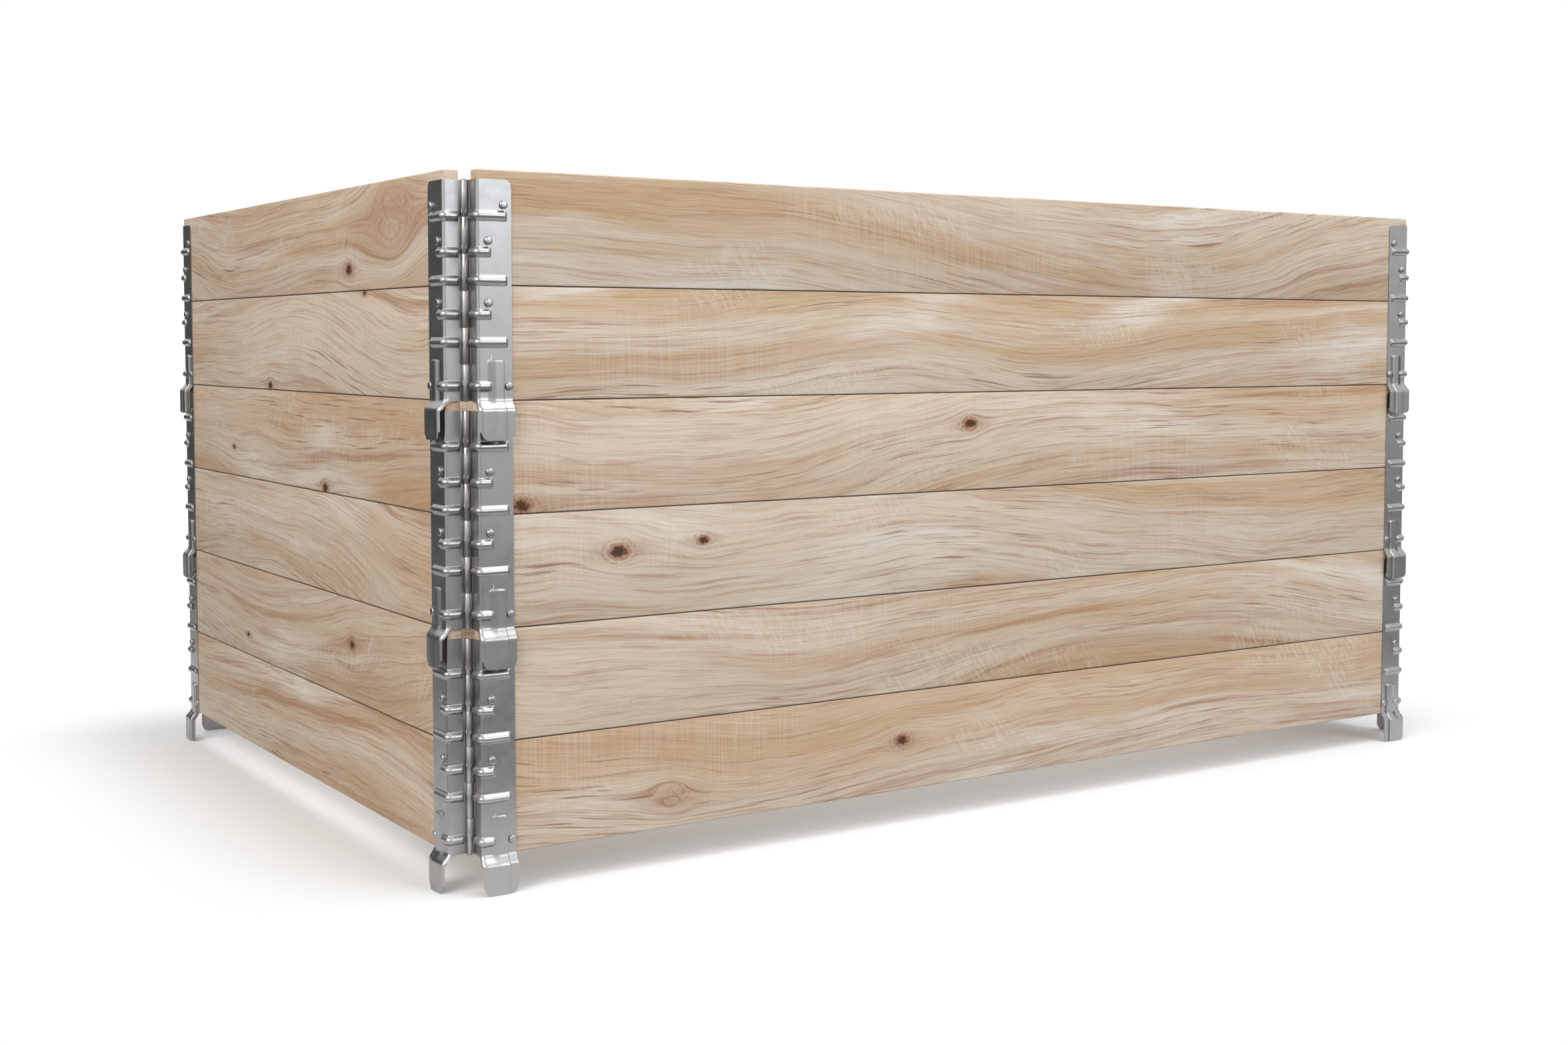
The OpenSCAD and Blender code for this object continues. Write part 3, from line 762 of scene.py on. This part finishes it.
def leaf_rows():
    foot = -TONGUE_DROP
    marks = [foot, LEAF_TOP, STEP_FOOT - 1 * MM, FLARE_TOP, BOSS_TOP - BOSS_CORNER_R]
    for angle in range(15, 91, 15):
        marks.append(foot + TONGUE_CORNER_R * (1 - math.cos(math.radians(angle))))
        marks.append(LEAF_TOP - TOP_CORNER_R * (1 - math.cos(math.radians(angle))))
    for drop in RIB_DROPS:
        marks += [COLLAR_H * (1 - drop) + way * share * RIB_HALF for share in RIB_SHARES for way in (-1, 1)]
    marks += [STEP_TOP - (STEP_TOP - STEP_FOOT) * i / 16 for i in range(17)]
    marks += [BOSS_TOP - BOSS_CORNER_R * i / 6 for i in range(6)]
    marks += [BOSS_TOP - BOSS_CORNER_R - BOSS_CREST * share for share in FLANK_SHARES]
    marks += [z * MM for z in (-0.4, -0.7, -1.0)]
    return stations(marks, ROW_STEP)


def leaf_columns():
    marks = [BEND_X, FLANGE_W, FLANGE_W - TOP_CORNER_R, BOSS_RIGHT + PAST_PRESS]
    marks += [FLANGE_W - TONGUE_CORNER_R * (1 - math.cos(math.radians(a))) for a in (20, 38, 55, 72, 90)]
    for reach in (LONG_RIB, SHORT_RIB):
        marks += [reach - RIB_END_R * share for share in FLANK_SHARES] + [reach + PAST_PRESS]
    marks += [BOSS_RIGHT - BOSS_FLANK * share for share in FLANK_SHARES]
    marks += [BOSS_LEFT + BOSS_RAMP * i / 8 for i in range(9)]
    flange = [("flange", s) for s in reversed(stations(marks, COLUMN_STEP))]
    bend = [("bend", i / 6) for i in range(1, 7)]
    ends = [0.0, 1.0] + [(RIB_WEB_END - BEND_Y - RIB_END_R * share) / (BOARD_T - BEND_Y) for share in FLANK_SHARES]
    web = [("web", share) for share in stations(ends, WEB_STEP) if share > 0]
    return flange + bend + web


def leaf_z(column, z):
    """A row's height, held inside the rounded corners of the sheet's outline."""
    kind, value = column
    x = value if kind == "flange" else leaf_point(column, -TONGUE_DROP, 0).x
    top = LEAF_TOP - corner_dip(x - (FLANGE_W - TOP_CORNER_R), TOP_CORNER_R)
    foot_off = max(x - (FLANGE_W - TONGUE_CORNER_R), WEB_FACE + TONGUE_CORNER_R - x)
    return min(max(z, -TONGUE_DROP + corner_dip(foot_off, TONGUE_CORNER_R)), top)


def leaf_sheet():
    """A flat grid for the leaf at the left end of a wall, given its thickness and pressed to shape."""
    rows, columns = leaf_rows(), leaf_columns()
    sheet = bmesh.new()
    bmesh.ops.create_grid(sheet, x_segments=len(columns) - 1, y_segments=len(rows) - 1, size=1)
    column_of = sheet.verts.layers.int.new("column")
    row_of = sheet.verts.layers.int.new("row")
    for point in sheet.verts:
        point[column_of] = round((point.co.x + 1) / 2 * (len(columns) - 1))
        point[row_of] = round((point.co.y + 1) / 2 * (len(rows) - 1))
    raised = bmesh.ops.extrude_face_region(sheet, geom=sheet.faces[:], use_keep_orig=True)["geom"]
    inner = {part for part in raised if isinstance(part, bmesh.types.BMVert)}
    for point in sheet.verts:
        column = columns[point[column_of]]
        z = leaf_z(column, rows[point[row_of]])
        point.co = leaf_point(column, z, -SHEET if point in inner else 0)
    return sheet


def knuckle_shapes(first):
    """The knuckles of one leaf, the straps that tie them to its web, and the web's lips between them."""
    parts = []
    pitch = (LEAF_TOP - KNUCKLE_FOOT) / KNUCKLES
    bore = PIN_R + PIN_GAP
    half = SHEET / 2
    ease, round_off = KNUCKLE_EASE, KNUCKLE_ROUND
    for i in range(KNUCKLES):
        low = KNUCKLE_FOOT + i * pitch + KNUCKLE_GAP / 2
        high = low + pitch - KNUCKLE_GAP
        if i % 2 != first:
            lip_end = AXIS_INSET - half - round_off
            parts.append(block((WEB_FACE - LIP_BULGE, BOARD_T - WEB_OVERLAP, low), (WEB_FACE + SHEET, lip_end, high)))
            continue
        tube = turned([
            (bore, low), (KNUCKLE_R - ease, low), (KNUCKLE_R - round_off, low + round_off), (KNUCKLE_R, low + ease),
            (KNUCKLE_R, high - ease), (KNUCKLE_R - round_off, high - round_off), (KNUCKLE_R - ease, high),
            (bore, high), (bore, low),
        ])
        bmesh.ops.translate(tube, vec=(AXIS_INSET, AXIS_INSET, 0), verts=tube.verts)
        parts.append(tube)
        parts.append(block((AXIS_INSET + KNUCKLE_R - round_off, AXIS_INSET - half, low),
                           (WEB_FACE + half, AXIS_INSET + half, high), STRAP_EASE))
        parts.append(block((WEB_FACE, BOARD_T - WEB_OVERLAP, low), (WEB_FACE + SHEET, AXIS_INSET + half, high),
                           STRAP_EASE))
    return parts


def rivet_shapes(reach_share, drop):
    """A head with a small flat on its dome, and the washer and upset tail inside the wall."""
    crown = RIVET_HEAD_H * 0.96
    head = [(0, RIVET_HEAD_H), (1.7 * MM, RIVET_HEAD_H), (2.3 * MM, crown)]
    head += [(2.3 * MM + 1.4 * MM * math.sin(a), crown - 1.75 * MM * (1 - math.cos(a)))
             for a in (math.radians(d) for d in (18, 36, 54, 72, 90))]
    head += [(RIVET_HEAD_R, 0), (0, 0)]
    tail = [(0, 0), (WASHER_R, 0), (WASHER_R, -0.45 * TAIL_H), (WASHER_R - 0.3 * MM, -0.55 * TAIL_H),
            (2.6 * MM, -0.6 * TAIL_H), (2.3 * MM, -0.9 * TAIL_H), (1.5 * MM, -TAIL_H), (0, -TAIL_H)]
    at = Vector((BEND_X + reach_share * (FLANGE_W - BEND_X), 0, COLLAR_H * (1 - drop)))
    to_wall = Matrix.Translation(at) @ Matrix.Rotation(math.pi / 2, 4, "X")
    shapes = []
    for profile, height in ((head, SHEET), (tail, -BOARD_T)):
        shape = turned([(radius, h + height) for radius, h in profile])
        bmesh.ops.transform(shape, matrix=to_wall, verts=shape.verts)
        shapes.append(shape)
    return shapes


def pin_shape():
    """A pin with a low domed head on the top knuckle and a small upset foot."""
    foot, top = KNUCKLE_FOOT, LEAF_TOP
    shape = turned([
        (0, top + 0.8 * MM), (1.5 * MM, top + 0.75 * MM), (2.2 * MM, top + 0.5 * MM), (2.5 * MM, top + 0.1 * MM),
        (PIN_R, top), (PIN_R, foot), (2.0 * MM, foot - 0.1 * MM), (2.0 * MM, foot - 0.5 * MM),
        (1.2 * MM, foot - 0.8 * MM), (0, foot - 0.8 * MM),
    ])
    bmesh.ops.translate(shape, vec=(AXIS_INSET, AXIS_INSET, 0), verts=shape.verts)
    return shape


def board_shape(span, seed):
    """A sawn board in its wall's frame: eased edges and ends, and long edges that aren't quite straight."""
    chance = random.Random(seed)
    waves = [(chance.uniform(2, 30), chance.uniform(0, 2 * math.pi), chance.uniform(0.02, 0.09) * MM)
             for _ in range(EDGE_WAVES)]
    shape = block((-span / 2, 0, 0), (span / 2, BOARD_T, BOARD_H))

    def runs_along(edge):
        return abs(edge.verts[0].co.x - edge.verts[1].co.x) > span / 2

    bmesh.ops.bevel(shape, geom=[e for e in shape.edges if runs_along(e)], offset=BOARD_EDGE_R, segments=4,
                    profile=0.5, affect="EDGES", material=-1)
    ends = [e for e in shape.edges if not runs_along(e)]
    bmesh.ops.bevel(shape, geom=ends, offset=BOARD_END_R, segments=3, profile=0.5, affect="EDGES", material=-1)
    bmesh.ops.subdivide_edges(shape, edges=[e for e in shape.edges if runs_along(e)], cuts=EDGE_CUTS)
    for point in shape.verts:
        off_middle = (point.co.z - BOARD_H / 2) / (BOARD_H / 2)
        if abs(off_middle) > EDGE_BAND:
            dent = abs(sum(size * math.sin(rate * point.co.x + start) for rate, start, size in waves))
            point.co.z -= math.copysign(dent, off_middle)
    return shape


def make_boards():
    for level in LEVELS:
        for side in SIDES:
            span = (COLLAR_L if side in ("front", "back") else COLLAR_W) - 2 * BOARD_END
            for row, word in enumerate(("lower", "upper")):
                node = f"{level}_{side}_{word}_board"
                seed = SEED_START + SEED_LEVEL * LEVELS.index(level) + SEED_SIDE * SIDES.index(side) + SEED_ROW * row
                shape = board_shape(span, seed)
                place = wall_matrix(side, level) @ Matrix.Translation((0, 0, row * BOARD_H))
                bmesh.ops.transform(shape, matrix=place, verts=shape.verts)
                bmesh.ops.recalc_face_normals(shape, faces=shape.faces)
                material = wood_material(node, seed, side in ("left", "right"))
                make_piece(node + "_timber", shape, material, f"{level}_{side}_wall", node,
                           PLAIN_CREASE)


def make_hinges():
    sheet = kept(leaf_sheet(), "leaf_sheet")
    knuckle_sets = [[kept(part, "knuckle") for part in knuckle_shapes(first)] for first in (0, 1)]
    rivets = [kept(part, "rivet") for place in RIVET_PLACES for part in rivet_shapes(*place)]
    pin = kept(pin_shape(), "pin")
    zinc = steel_material("zinc_sheet", ZINC_SHEET, 0.04)
    bright = steel_material("bright_rivet", RIVET_ZINC, 0.08)
    wire = steel_material("pin_wire", PIN_ZINC, 0.1)
    for level in LEVELS:
        for side in SIDES:
            wall = wall_matrix(side, level)
            ends = [wall @ end for end in end_matrices(side)]
            body = f"{level}_{side}_wall"
            leaf_parts = [(mesh, end) for end, knuckles in zip(ends, knuckle_sets) for mesh in [sheet] + knuckles]
            make_piece(f"{level}_{side}_pressed_leaves", gather(leaf_parts), zinc, body,
                       f"{level}_{side}_leaves", LEAF_CREASE)
            make_piece(f"{level}_{side}_rivet_heads", gather([(mesh, end) for end in ends for mesh in rivets]),
                       bright, body, f"{level}_{side}_rivets", PLAIN_CREASE)
            if side in ("front", "back"):
                words = ("left", "right") if side == "front" else ("right", "left")
                for end, word in zip(ends, words):
                    node = f"{level}_{side}_{word}_pin"
                    make_piece(node + "_wire", gather([(pin, end)]), wire, body, node, PLAIN_CREASE)


make_camera()
make_world()
make_floor()
make_flags()
for settings in SOFT_BOXES:
    soft_box(*settings)
knot_group()
wood_group()
zinc_group()
make_boards()
make_hinges()

bpy.context.scene.view_settings.view_transform = "Standard"
